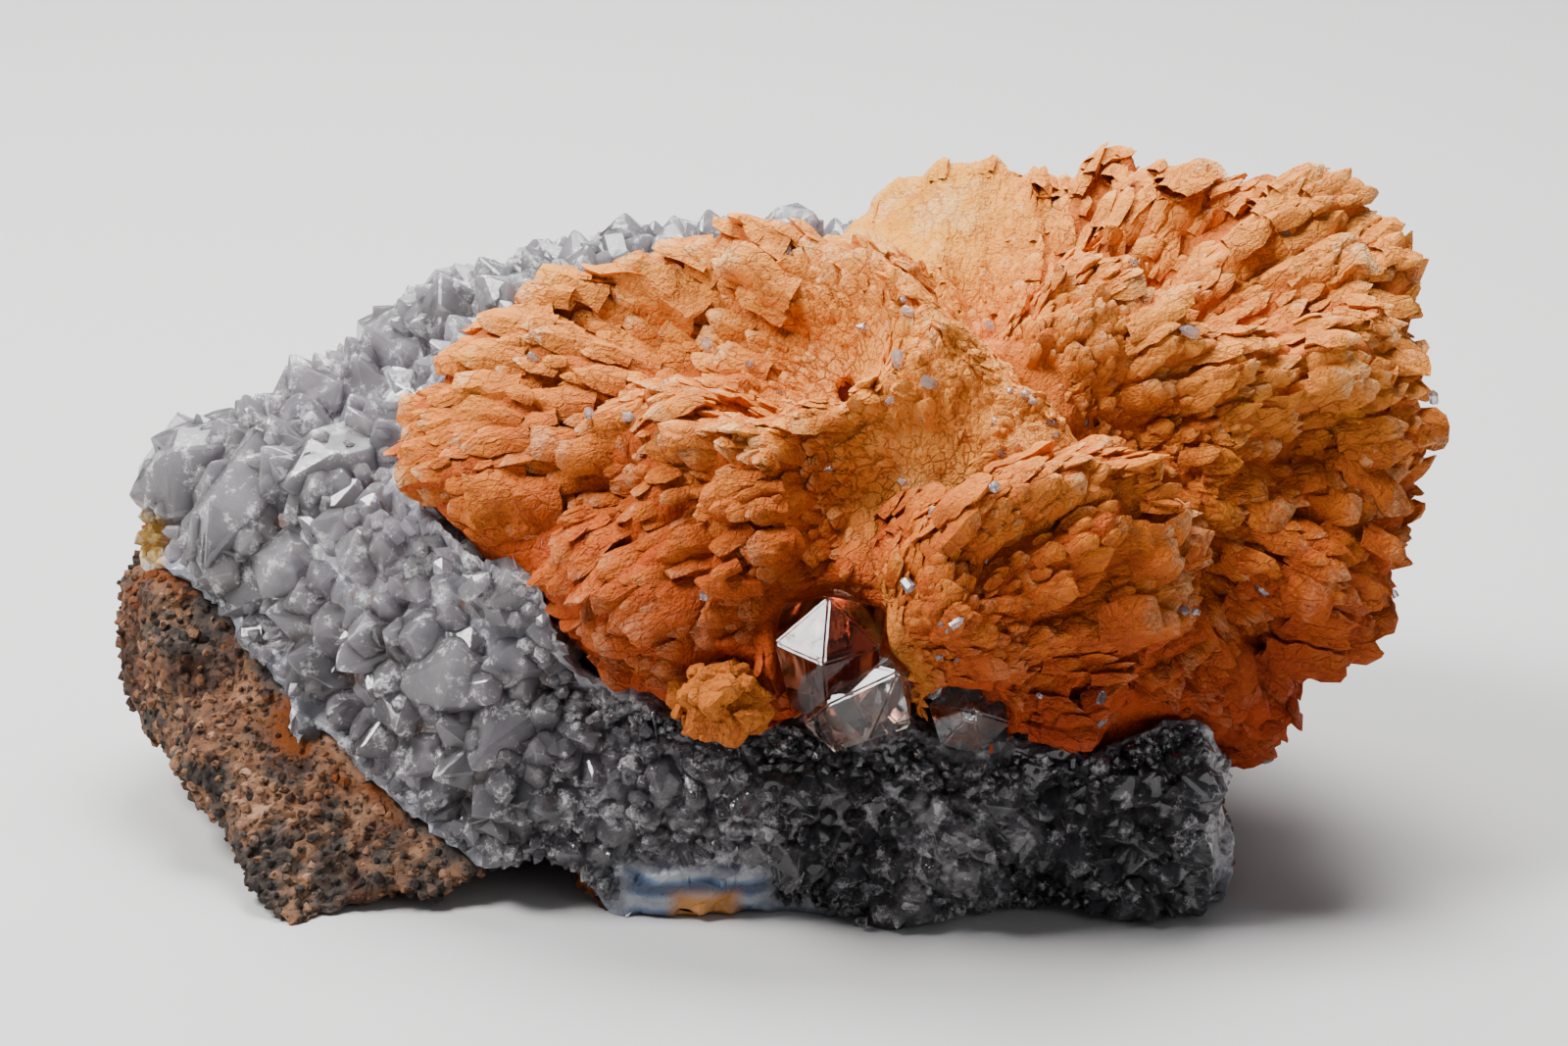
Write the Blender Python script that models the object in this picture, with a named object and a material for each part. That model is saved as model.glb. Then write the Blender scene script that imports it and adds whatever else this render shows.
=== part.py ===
"""A mineral specimen: orange stilbite sheaves on a crust of quartz points, over a broken piece of basalt.

Metres, +Z up. The origin lies on the flat broken base, under the middle of the specimen.
-Y is the display side, +X is to the right of it. Lengths below are in millimetres, times MM.
"""

import math
import random

import bmesh
import bpy
import numpy as np
from mathutils import Quaternion, Vector, noise

MM = 0.001

# Driving dimensions of the whole specimen, in millimetres
GAP = 0.4  # clearance between pieces that grew against each other
BLADE_GAP = 0.64  # the same around the stilbite, whose faces stand at a slant to it
BASE_DEPTH = 12.0  # how far the breaks reach below the base
CUTTER_REACH = 90.0  # how far the cutters reach past the specimen

# Colours as base colour, roughness
BASALT = ((0.30, 0.24, 0.20), 0.95)
QUARTZ = ((0.72, 0.72, 0.76), 0.20)
STILBITE = ((0.82, 0.40, 0.16), 0.70)
SMOKY_QUARTZ = ((0.50, 0.33, 0.24), 0.15)

# Basalt: corners of the broken block
ROCK_CORE = (-22.0, 1.0, 10.0)
ROCK_CORNERS = [
    # base, clockwise from the pointed front foot
    (-38.5, -25.6, 0), (-40, 8, 0), (-34, 22, 0), (-20, 30, 0), (26, 30, 0), (39, 14, 0), (38, -19, 0), (-10, -21, 0),
    # left end, which hangs clear of the ground
    (-41.5, -21, 2.5), (-47, -12, 3.5), (-54.5, -1, 6.5), (-55.5, 3, 18), (-52, 13, 10), (-44, 20, 7),
    # the bed that the quartz grew on
    (-51.5, -1, 20), (-38.5, -12.5, 9.5), (-27, -21, 3.2), (-47, 17, 25), (-12, 30, 32), (28, 30, 29), (39, 14, 19),
    (38, -20, 2.5),
]
ROCK_FACETS = 900
ROCK_SEED = 11
ROCK_LUMP = 3.0  # height of its lumps
ROCK_LUMP_SIZE = 5.5
ROCK_LUMP_SINK = 0.35  # share of that height by which the lumps lie lower
ROCK_LUMP_RISE = 0.6  # most that a lump stands out
ROCK_LUMP_START = (0.3, 4.0)  # height at which the lumps start, and over which they grow
ROCK_FOOT = -0.5  # directions that point further down than this reach the base

# Quartz: points on the outside of the crust, before its crystals
CRUST_CORE = (-6.0, 4.0, 9.0)
CRUST_POINTS = [
    # left end and skyline, front to back
    (-55.0, 4, 20.5), (-52.5, 7, 26.5), (-43.5, 13, 32), (-32, 17, 37.5), (-19.5, 22, 39.5), (-8, 26, 39.5),
    (6.5, 28.5, 40), (20, 27.5, 39), (34, 24, 35),
    # the lit left face
    (-46, -1, 26.5), (-38, -9, 26), (-30, -16, 24), (-24, -21, 20), (-26, -8, 31), (-33, 5, 34), (-41, -8, 18),
    (-33, -17, 13), (-24, -23, 12), (-14, -23, 16),
    # along the line where the crust ends
    (-50, 0, 21.5), (-45.5, -4.5, 16), (-40.5, -9, 11.5), (-35, -14, 7.5), (-30, -18.5, 5), (-25.5, -22.5, 4),
    # inside the rock, below that line
    (-46, 3, 14), (-41, -2, 9), (-36.5, -6.5, 5), (-32, -12, 2), (-27.5, -14.5, 0), (-44, 12, 12), (-38, 4, 4),
    # the front wall on the right, its corner and the right side
    (-18, -23, 4), (-10, -23.5, 1), (-4, -23.5, 1), (15, -24, 1), (34, -23.5, 1), (-10, -25, 9), (3, -26.5, 10),
    (18, -27, 10), (34, -25.5, 12), (-4, -25.5, 17), (12, -25, 17.5), (24, -24, 16.5), (33, -20, 16), (40, -4, 16),
    (40, 12, 25),
    # under the sheaves
    (0, -8, 27), (16, -4, 28), (26, 6, 31), (8, 10, 33),
    # deep inside the rock
    (-8, 3, -6), (-20, -12, -3), (20, 4, -3),
]
CRUST_CRYSTALS = 1160
CRUST_TIP = (0.3, 1.9)  # least and most height of a crystal's tip
CRUST_VALLEY = 0.8  # depth of the joints between crystals
CRUST_SEED = 5
WALL_SIDE = (-0.3, -0.5, -0.4)  # least X, most Y and least Z of the directions of the front wall
WALL_SHARE, CRUST_SHARE = 0.8, 0.4  # share of the crystals kept on the wall and elsewhere
WALL_TIP = 0.6  # height of the wall's tips beside the others'

# The back and the right side broke off rough: distance of the break and height of its lumps
BREAK_BACK = 26.4
BREAK_RIGHT = 34.8
BREAK_LUMP = 1.6
BREAK_STEP = 4.5  # size of its facets
BREAK_LUMP_SIZE = 9.0
ROUGHNESS = (0.85, 2.0, 3)  # falloff, step and count of the layers of every rough surface

# Where the front of crust and rock broke away from the ground: across, up
UNDERCUT = [(-38, -4), (-33, 3.5), (-27, 7.0), (-19.3, 8.5), (-13, 9.4), (-9, 6), (-4, -4)]
UNDERCUT_DEPTH = (-50.0, -8.0)
UNDERCUT_TAPER = 0.15  # how much of its width and height is left at its far end

# Stilbite: the sheaves radiate from beside the waist. Points on the outside of each, before its blades
LEFT_CORE = (13.0, -6.0, 28.0)
LEFT_POINTS = [
    # crest, from the waist to the leftmost tips
    (16, -4, 34.0), (9, 3, 39), (1.5, 8, 43.5), (-4, 6, 44.5), (-11, 4, 44), (-19, 0, 43), (-26, -4, 39.5),
    (-30, -8, 36), (-31, -13.5, 31),
    # back, over the crust
    (-10, 11, 36), (2, 13, 38), (-22, 4, 34),
    # front face, from top to bottom
    (4.5, -9, 36), (-6, -8, 40.5), (-12, -13, 38.5), (-20, -12, 36.5), (-12, -18, 34), (-7, -23.5, 31), (-18, -19, 29),
    (-16, -23.5, 27), (-12.5, -25.5, 22), (-3, -27, 21.5), (4.5, -25.5, 26), (9, -19, 31.5),
    # buried underside
    (-20, -8, 23), (-8, -14, 18), (6, -14, 18), (8, 2, 22), (-4, 2, 22),
]
RIGHT_CORE = (18.0, -5.0, 28.5)
RIGHT_POINTS = [
    # rim, from the back lobe round to the bottom right
    (4, 13, 44), (8, 20, 47.5), (15, 20, 49), (21, 18, 49.3), (27, 15, 49.5), (34, 9, 51), (41, 6, 54),
    (45, 4, 52), (48, 0, 48.5),
    (48, -6, 42), (49.5, -10, 36.8), (47, -14, 30), (46, -16, 23.4), (38.5, -18, 14), (27, -24, 16.5),
    # the hollow beside the waist, its back wall, and the slope up to the right
    (16.5, -3, 34), (17.5, 1, 36), (19, 4, 41), (30, -5, 40.5), (24, -2, 37), (37, -16, 33),
    (38, -4, 45.5), (14, -13, 33), (24, -17, 33.5), (30, -20, 27), (11, 8, 41.5), (34, -22, 22),
    # outer back
    (47, 8, 38), (36, 17, 40), (20, 23, 40), (6, 20, 40), (44, 2, 26), (41, -8, 15),
    # buried underside
    (10, -18, 20), (22, -6, 17), (30, 6, 24), (12, 6, 26),
]
FRONT_CORE = (9.0, -21.0, 26.0)
FRONT_POINTS = [
    (7, -22, 32), (12, -20.5, 34.5), (17.5, -19.5, 36.5), (26.8, -21.5, 37.5), (31, -25.5, 34.5), (5, -25, 27.5),
    (16.4, -29.5, 29.6), (24, -29, 31), (27.5, -29.5, 27), (10, -29, 22), (19, -29, 21.5), (25, -27, 19.5),
    (31, -23, 27), (5, -24, 21),
    # buried side
    (14, -13, 26), (14, -19, 18), (24, -14, 28),
]
BLADE_TIP = (0.3, 1.9)  # least and most height of a blade's tip
BLADE_VALLEY = 0.7
BLADE_FULL = 20.0  # distance from the core at which blades have their full size
BLADE_THIN = 1.3  # how fast their number falls nearer to it
BUNDLES = [(7.5, 1.9), (3.6, 0.8)]  # width and height of the bundles that the blades stand in
LEFT_BLADES, RIGHT_BLADES, FRONT_BLADES = 530, 600, 220
LEFT_SEED, RIGHT_SEED, FRONT_SEED = 37, 31, 41
BURIED_DEPTH = 1.5  # how deep inside another piece a surface counts as hidden
BURIED_SHARE = 0.13  # share of its crystals that such a surface keeps

# The small stilbite bud on the ledge
BUD_CORE = (-4.6, -27.6, 19.8)
BUD_SIZE = (3.4, 2.8, 3.0)
BUD_BLADES = 34
BUD_SEED = 21
BUD_TIP = (0.2, 1.4)
BUD_VALLEY = 0.25

# Quartz points that stand free on the ledge: foot, tip, width across the flats, share of the length that is pyramid
SMOKY_POINT = ((3.75, -25.6, 19.5), (3.3, -28.4, 28.3), 7.8, 0.30)
CLEAR_POINT = ((3.9, -25.6, 17.9), (8.4, -31.2, 23.5), 7.0, 0.45)
ROUND_POINT = ((13.5, -24.0, 17.0), (13.9, -30.8, 20.2), 5.4, 0.45)
POINT_FACE = (-0.344, -0.637, 0.690)  # one face of each pyramid turns this way
FOOT_WIDTH = 0.8  # width of its foot beside its shoulder
SIDE_GROW, TIP_GROW = 1.2, 1.5  # how far the corners and the tip move for a clearance of 1
JOINT_LEAST = 1e-4  # least spherical area, doubled, of a face that runs along a joint

SCATTER_WANDER = 0.34  # random step of a crystal, as a share of the spacing
KERNEL_ROUND = 0.09  # radians within which a form follows one of its points
KERNEL_POWER = 2.6  # how fast a point's hold fades with its angle


def clear_scene():
    for obj in list(bpy.data.objects):
        bpy.data.objects.remove(obj)


def millimetres(point):
    return Vector(point) * MM


def material(name, finish):
    colour, roughness = finish
    made = bpy.data.materials.new(name)
    made.use_nodes = True
    shader = made.node_tree.nodes["Principled BSDF"]
    shader.inputs["Base Color"].default_value = (*colour, 1.0)
    shader.inputs["Roughness"].default_value = roughness
    shader.inputs["Metallic"].default_value = 0.0
    return made


def object_from(name, points, faces, finish):
    mesh = bpy.data.meshes.new(name)
    mesh.from_pydata([tuple(p) for p in points], [], faces)
    mesh.update()
    obj = bpy.data.objects.new(name, mesh)
    bpy.context.scene.collection.objects.link(obj)
    if finish is not None:
        mesh.materials.append(finish)
    return obj


def as_cutter(obj):
    obj.hide_render = True
    obj.display_type = "WIRE"
    return obj


def subtract(obj, *cutters):
    for cutter in cutters:
        modifier = obj.modifiers.new("cut_" + cutter.name, "BOOLEAN")
        modifier.operation = "DIFFERENCE"
        modifier.solver = "EXACT"
        modifier.object = cutter


def scatter(count, seed, share=None):
    """Unit vectors spread over the sphere on a golden spiral, each moved a little at random.
    share(direction) thins them out where the surface is buried."""
    rng = random.Random(seed)
    turn = math.pi * (3 - math.sqrt(5))
    step = SCATTER_WANDER * math.sqrt(4 * math.pi / count)
    directions = []
    for i in range(count):
        z = 1 - 2 * (i + 0.5) / count
        ring = math.sqrt(1 - z * z)
        spot = Vector((ring * math.cos(i * turn), ring * math.sin(i * turn), z))
        spot += Vector([rng.uniform(-step, step) for _ in range(3)])
        if share is None or rng.random() < share(spot.normalized()):
            directions.append(spot.normalized())
    return directions


def hull_faces(points):
    """Triangles of the convex hull, each wound to face out, as index triples into points."""
    hull = bmesh.new()
    made = [hull.verts.new(p) for p in points]
    for i, vert in enumerate(made):
        vert.index = i
    bmesh.ops.convex_hull(hull, input=made)
    bmesh.ops.triangulate(hull, faces=hull.faces)
    middle = sum((Vector(p) for p in points), Vector()) / len(points)
    faces = []
    for face in hull.faces:
        corners = [v.index for v in face.verts]
        outward = (face.calc_center_median() - middle).dot(face.normal) > 0
        faces.append(tuple(corners if outward else reversed(corners)))
    hull.free()
    return faces


def smooth_form(core, points):
    """The radius, from core, of a smooth closed surface that passes near the given points."""
    core = np.array(core)
    arms = np.array(points, float) - core
    lengths = np.linalg.norm(arms, axis=1)
    keys = arms / lengths[:, None]

    def radius(direction):
        angle = np.arccos(np.clip(keys @ np.array(direction), -1, 1))
        weights = (angle**2 + KERNEL_ROUND**2) ** -KERNEL_POWER
        return float(weights @ lengths / weights.sum())

    return radius


def faceted_form(core, corners):
    """The radius, from core, of the convex block with the given corners."""
    core = Vector(core)
    sides = []
    for face in hull_faces(corners):
        a, b, c = (Vector(corners[i]) for i in face)
        normal = (b - a).cross(c - a).normalized()
        sides.append((normal, (a - core).dot(normal)))

    def radius(direction):
        return min(reach / normal.dot(direction) for normal, reach in sides if normal.dot(direction) > 1e-6)

    return radius


def hidden_in(form, hosts):
    """Whether the surface of a form, in a direction, lies inside one of the other forms."""
    core, radius = form

    def hidden(direction):
        spot = Vector(core) + direction * radius(direction)
        for middle, reach in hosts:
            arm = spot - Vector(middle)
            if arm.length + BURIED_DEPTH < reach(arm.normalized()):
                return True
        return False

    return hidden


def bundles(direction, length, size, height):
    """Lumps that follow the direction of growth, wider than one crystal."""
    return height * noise.noise(Vector(direction) * (length / size))


def spherical_turn(a, b, c):
    """Positive where three directions run anticlockwise, seen from outside."""
    return a.cross(b).dot(c)


def growth(name, core, radius, directions, tip, valley, finish, grow=0.0):
    """A closed crust of crystals about core: each direction carries a tip, and the joints lie between the tips."""
    core = Vector(core)
    triangles = hull_faces(directions)
    joints = [sum((directions[i] for i in triangle), Vector()).normalized() for triangle in triangles]
    spread = directions + joints
    lengths = [radius(direction) + tip(direction) + grow for direction in directions]
    lengths += [radius(direction) - valley(direction) + grow for direction in joints]
    points = [(core + direction * length) * MM for direction, length in zip(spread, lengths)]
    across = {}
    for n, triangle in enumerate(triangles):
        for a, b in zip(triangle, triangle[1:] + triangle[:1]):
            across[a, b] = len(directions) + n
    faces = []
    for (a, b), left in across.items():
        if a > b:
            continue
        right = across[b, a]
        pair = [(a, right, left), (b, left, right)]
        if min(spherical_turn(*(spread[i] for i in face)) for face in pair) < JOINT_LEAST:
            pair = [(a, b, left), (b, a, right)]
        faces += pair
    return object_from(name, points, faces, finish)


def tip_heights(seed, least, most, weight):
    """A repeatable random height for each direction, so that a piece and its cutter agree."""

    def tip(direction):
        spot = Vector(direction) * 977.0 + Vector((seed, 0, 0))
        share = noise.cell(spot)
        return (least + (most - least) * share * share) * weight(direction)

    return tip


def faced_out(obj):
    """Turns every face of a closed mesh outwards."""
    shape = bmesh.new()
    shape.from_mesh(obj.data)
    bmesh.ops.recalc_face_normals(shape, faces=shape.faces)
    shape.to_mesh(obj.data)
    shape.free()
    return obj


def wedge_cutter(name, outline, depth, taper):
    """An outline in X and Z, drawn out along Y and narrowed towards its far end."""
    count = len(outline)
    middle = sum(x for x, _ in outline) / count
    points = []
    for y, size in zip(depth, (1.0, taper)):
        points += [millimetres((middle + (x - middle) * size, y, z * size)) for x, z in outline]
    faces = [(k, (k + 1) % count, count + (k + 1) % count, count + k) for k in range(count)]
    faces += [tuple(reversed(range(count))), tuple(range(count, 2 * count))]
    return as_cutter(faced_out(object_from(name, points, faces, None)))


def break_cutter(name, place, reach):
    """A slab whose near face is a rough break; place(along, up, out) puts its points in space."""
    columns, rows = round(2 * reach / BREAK_STEP), round(reach / BREAK_STEP)
    points = []
    for out in (0.0, reach):
        for row in range(rows + 1):
            for column in range(columns + 1):
                along = -reach + column * BREAK_STEP
                up = -BASE_DEPTH + row * BREAK_STEP
                spot = Vector((along, up, reach)) / BREAK_LUMP_SIZE
                rough = BREAK_LUMP * noise.fractal(spot, *ROUGHNESS) if out == 0 else 0
                points.append(place(along, up, out + rough))
    width = columns + 1
    sheet = width * (rows + 1)
    faces = []
    for row in range(rows):
        for column in range(columns):
            a = row * width + column
            faces += [(a, a + 1, a + width + 1), (a, a + width + 1, a + width)]
            faces.append((sheet + a, sheet + a + width, sheet + a + width + 1, sheet + a + 1))
    for row in range(rows):
        for a in (row * width, row * width + columns):
            faces.append((a, a + width, sheet + a + width, sheet + a))
    for column in range(columns):
        for a in (column, rows * width + column):
            faces.append((a, a + 1, sheet + a + 1, sheet + a))
    return as_cutter(faced_out(object_from(name, [millimetres(p) for p in points], faces, None)))


def drop_chips(obj):
    """Applies the cuts and keeps the largest body, without the loose chips that the cuts left."""
    graph = bpy.context.evaluated_depsgraph_get()
    shape = bmesh.new()
    shape.from_mesh(obj.evaluated_get(graph).to_mesh())
    left, islands = set(shape.verts), []
    while left:
        front = [left.pop()]
        island = list(front)
        while front:
            vert = front.pop()
            near = {edge.other_vert(vert) for edge in vert.link_edges} & left
            left -= near
            front += near
            island += near
        islands.append(island)
    islands.sort(key=len)
    for island in islands[:-1]:
        bmesh.ops.delete(shape, geom=island, context="VERTS")
    obj.modifiers.clear()
    shape.to_mesh(obj.data)
    shape.free()


def build_rock(form, hosts, finish, grow=0.0):
    core, block = Vector(form[0]), form[1]
    hidden = hidden_in(form, hosts)

    def radius(direction):
        length = block(direction)
        spot = core + direction * length
        lump = ROCK_LUMP * (noise.fractal(spot / ROCK_LUMP_SIZE, *ROUGHNESS) - ROCK_LUMP_SINK)
        start, over = ROCK_LUMP_START
        lift = min(1.0, max(0.0, spot.z - start) / over)
        return length + min(ROCK_LUMP_RISE, lump) * lift

    def share(direction):
        return BURIED_SHARE if hidden(direction) or direction.z < ROCK_FOOT else 1.0

    directions = scatter(ROCK_FACETS, ROCK_SEED, share)
    directions += [(Vector(c) - core).normalized() for c in ROCK_CORNERS]
    points = [(core + direction * (radius(direction) + grow)) * MM for direction in directions]
    name = "rock_clearance" if grow else "basalt_matrix"
    return object_from(name, points, hull_faces(directions), finish)


def build_crust(form, hosts, finish):
    core, radius = form
    hidden = hidden_in(form, hosts)

    def front_wall(direction):
        least_x, most_y, least_z = WALL_SIDE
        return direction.x > least_x and direction.y < most_y and direction.z > least_z

    def share(direction):
        if hidden(direction):
            return BURIED_SHARE
        return WALL_SHARE if front_wall(direction) else CRUST_SHARE

    tip = tip_heights(CRUST_SEED, *CRUST_TIP, lambda d: WALL_TIP if front_wall(d) else 1.0)
    directions = scatter(CRUST_CRYSTALS, CRUST_SEED, share)
    return growth("quartz_druse", core, radius, directions, tip, lambda d: CRUST_VALLEY, finish)


def build_sheaf(name, form, hosts, count, seed, finish, grow=0.0):
    core, smooth = form
    hidden = hidden_in(form, hosts)

    def size(direction):
        return min(1.0, smooth(direction) / BLADE_FULL)

    def radius(direction):
        length = smooth(direction)
        if hidden(direction):
            return length
        return length + size(direction) * sum(bundles(direction, length, *bundle) for bundle in BUNDLES)

    directions = scatter(count, seed, lambda d: BURIED_SHARE if hidden(d) else size(d) ** BLADE_THIN)
    tip = tip_heights(seed, *BLADE_TIP, lambda d: 0.0 if hidden(d) else size(d))
    return growth(name, core, radius, directions, tip, lambda d: BLADE_VALLEY * size(d), finish, grow)


def build_bud(finish, grow=0.0):
    def radius(direction):
        return 1 / math.sqrt(sum((d / s) ** 2 for d, s in zip(direction, BUD_SIZE)))

    tip = tip_heights(BUD_SEED, *BUD_TIP, lambda d: 1.0)
    name = "bud_clearance" if grow else "stilbite_bud"
    return growth(name, BUD_CORE, radius, scatter(BUD_BLADES, BUD_SEED), tip, lambda d: BUD_VALLEY, finish, grow)


def quartz_point(name, foot, tip, width, pyramid, finish, grow=0.0):
    """A six-sided prism with a pyramid tip, leaning from foot to tip."""
    foot, tip = Vector(foot), Vector(tip)
    axis = (tip - foot).normalized()
    face = Vector(POINT_FACE)
    face = (face - axis * face.dot(axis)).normalized()
    side = Quaternion(axis, math.radians(30)) @ face
    other = axis.cross(side)
    shoulder = tip.lerp(foot, pyramid)
    rings = [(foot - axis * grow, width * FOOT_WIDTH), (shoulder, width)]
    points = []
    for middle, across in rings:
        reach = across / math.sqrt(3) + grow * SIDE_GROW
        for k in range(6):
            angle = math.radians(60 * k)
            points.append((middle + (side * math.cos(angle) + other * math.sin(angle)) * reach) * MM)
    points.append((tip + axis * grow * TIP_GROW) * MM)
    faces = [(k, (k + 1) % 6, 6 + (k + 1) % 6, 6 + k) for k in range(6)]
    faces += [(6 + k, 6 + (k + 1) % 6, 12) for k in range(6)]
    faces.append((5, 4, 3, 2, 1, 0))
    return object_from(name, points, faces, finish)


def box_cutter(name, low, high):
    corners = [(x, y, z) for x in (low[0], high[0]) for y in (low[1], high[1]) for z in (low[2], high[2])]
    return as_cutter(object_from(name, [millimetres(c) for c in corners], hull_faces(corners), None))


def main():
    clear_scene()
    basalt, quartz = material("basalt", BASALT), material("quartz", QUARTZ)
    stilbite, smoky = material("stilbite", STILBITE), material("smoky_quartz", SMOKY_QUARTZ)

    block = (ROCK_CORE, faceted_form(ROCK_CORE, ROCK_CORNERS))
    druse = (CRUST_CORE, smooth_form(CRUST_CORE, CRUST_POINTS))
    right = (RIGHT_CORE, smooth_form(RIGHT_CORE, RIGHT_POINTS))
    left = (LEFT_CORE, smooth_form(LEFT_CORE, LEFT_POINTS))
    front = (FRONT_CORE, smooth_form(FRONT_CORE, FRONT_POINTS))

    reach = CUTTER_REACH
    below = box_cutter("below_base", (-reach, -reach, -BASE_DEPTH * 2), (reach, reach, 0.0))
    behind = break_cutter("behind_break", lambda along, up, out: (along, BREAK_BACK + out, up), reach)
    beside = break_cutter("beside_break", lambda along, up, out: (BREAK_RIGHT + out, along, up), reach)
    undercut = wedge_cutter("undercut", UNDERCUT, UNDERCUT_DEPTH, UNDERCUT_TAPER)

    rock = build_rock(block, [druse], basalt)
    rock_clearance = as_cutter(build_rock(block, [druse], None, GAP))
    subtract(rock, behind, beside, undercut)

    sheaves = [
        ("stilbite_right_sheaf", right, [druse], RIGHT_BLADES, RIGHT_SEED),
        ("stilbite_left_sheaf", left, [druse, right], LEFT_BLADES, LEFT_SEED),
        ("stilbite_front_sheaf", front, [druse, right, left], FRONT_BLADES, FRONT_SEED),
    ]
    clearances = []
    for name, *rest in sheaves:
        sheaf = build_sheaf(name, *rest, stilbite)
        subtract(sheaf, *clearances)
        clearances.append(as_cutter(build_sheaf(name + "_clearance", *rest, None, BLADE_GAP)))
        subtract(sheaf, rock_clearance)

    points = {
        "smoky_quartz_point": (SMOKY_POINT, smoky),
        "clear_quartz_point": (CLEAR_POINT, quartz),
        "round_quartz_point": (ROUND_POINT, quartz),
    }
    point_clearances = []
    for name, (shape, finish) in points.items():
        point = quartz_point(name, *shape, finish)
        subtract(point, *point_clearances)
        point_clearances.append(as_cutter(quartz_point(name + "_clearance", *shape, None, GAP)))
    bud = build_bud(stilbite)
    bud_clearance = as_cutter(build_bud(None, BLADE_GAP))
    subtract(bud, *point_clearances)
    for name, *_ in sheaves:
        subtract(bpy.data.objects[name], *point_clearances, bud_clearance)

    crust = build_crust(druse, [block, right, left, front], quartz)
    subtract(crust, rock_clearance, *clearances, *point_clearances, bud_clearance)
    subtract(crust, below, behind, beside, undercut)
    for obj in list(bpy.context.scene.objects):
        if not obj.hide_render:
            drop_chips(obj)


main()
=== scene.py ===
"""Dresses the stilbite cluster: shingled blades on the sheaves, quartz crystals on the crust, grains on the rock.

Lengths are in millimetres, and turned into metres where a mesh is made. Every place comes from the frame's solids.
"""

import math
import random

import bmesh
import bpy
import numpy as np
from mathutils import Matrix, Vector, noise
from mathutils.bvhtree import BVHTree
from mathutils.kdtree import KDTree


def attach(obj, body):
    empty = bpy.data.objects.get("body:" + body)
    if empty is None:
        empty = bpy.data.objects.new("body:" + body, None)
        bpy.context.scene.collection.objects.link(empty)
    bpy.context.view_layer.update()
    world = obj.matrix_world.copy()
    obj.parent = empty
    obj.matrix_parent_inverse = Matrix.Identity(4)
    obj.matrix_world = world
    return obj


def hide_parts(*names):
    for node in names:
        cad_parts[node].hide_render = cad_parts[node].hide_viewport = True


MM = 0.001
FLOOR_CLEARANCE = 0.03  # nothing reaches lower than this above the floor
SWIRL_SHIFTS = [Vector((0.4, 7.7, 3.9)), Vector((9.3, 0.6, 5.2)), Vector((4.1, 2.8, 8.5))]

# Where the blades of each sheaf radiate from: under the waist, and beside the foot of the front sheaf
GROWTH_ORIGINS = {
    "stilbite_left_sheaf": (14.0, -7.0, 31.0),
    "stilbite_right_sheaf": (17.0, -5.5, 31.5),
    "stilbite_front_sheaf": (3.0, -25.0, 21.0),
    "stilbite_bud": (-4.6, -27.6, 19.8),
}
BUNDLE_ANGLE = {"stilbite_left_sheaf": 0.22, "stilbite_right_sheaf": 0.18, "stilbite_front_sheaf": 0.20,
                "stilbite_bud": 0.5}
BUNDLE_STEP = 0.9  # how far a bundle stands above or below the others
CREVICE = 1.7  # depth of the joints between bundles

# Outlines of a blade: share of its length, half width, half thickness
LEAF = [(0, 0.40, 0.44), (0.30, 0.48, 0.50), (0.60, 0.50, 0.50), (0.78, 0.43, 0.42), (0.91, 0.28, 0.28), (1, 0.12, 0.10)]
TOOTH = [(0, 0.44, 0.50), (0.50, 0.50, 0.46), (0.68, 0.44, 0.38), (1, 0.06, 0.08)]
CHISEL = [(0, 0.44, 0.46), (0.50, 0.50, 0.50), (0.82, 0.48, 0.44), (0.94, 0.42, 0.34), (1, 0.32, 0.16)]
OUTLINES = [LEAF, TOOTH, CHISEL]
OUTLINE_SHARES = {"stilbite_left_sheaf": (0.4, 0.1, 0.5), "stilbite_right_sheaf": (0.35, 0.5, 0.15),
                  "stilbite_front_sheaf": (0.65, 0.2, 0.15), "stilbite_bud": (0.2, 0.0, 0.8)}
# Ranks of blades: size beside the local width, spacing beside their own width, height, share kept, points around, rings
RANKS = [
    (1.00, 0.60, 0.00, 1.0, 8, 6),
    (0.50, 1.00, 0.16, 0.9, 6, 5),
    (1.45, 1.60, 0.16, 0.5, 14, 10),
]

# Blades: width near the origin and far out, and the distances from it where those hold
BLADE_WIDTH = (0.8, 2.5)
BLADE_REACH = (5.0, 31.0)
BUD_BLADE = 2.2
BUD_PLUMP = 1.7
BRICKS, BRICK_STEP = 15.0, 7.0  # width of the blades of the bud
BLADE_STRETCH = 2.0  # spacing along their growth beside that across it
BLADE_LENGTH = (1.5, 2.1)  # of the width
BLADE_LEAN = 0.15  # sine between a blade and the surface where it grows along that
BLADE_STAND = (0.55, 3.0)  # what is added where it grows straight out, and how late that sets in

# Half the distance over which a sheaf stays smooth around the place that it grows from
SMOOTH_REACH = {"stilbite_left_sheaf": 9.0, "stilbite_right_sheaf": 6.0, "stilbite_front_sheaf": 4.5,
                "stilbite_bud": 0.0}

# Tiny quartz crystals on the blades: how many, and the height above which the left sheaf carries most of its own
SPARKLES = {"stilbite_left_sheaf": 90, "stilbite_right_sheaf": 60, "stilbite_front_sheaf": 40}
SPARKLE_CREST = 37.0

# The smooth, pale lobe at the back of the right sheaf: centre and radius
LOBE = (9.0, 14.0, 45.5)
LOBE_RADIUS = 10.0

# Quartz: width of the crystals on the left bulge and on the front wall
BULGE_CRYSTAL = 6.4
WALL_CRYSTAL = 3.2
WALL_TOP = 17.0
WALL_LEFT = -16.0
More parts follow.
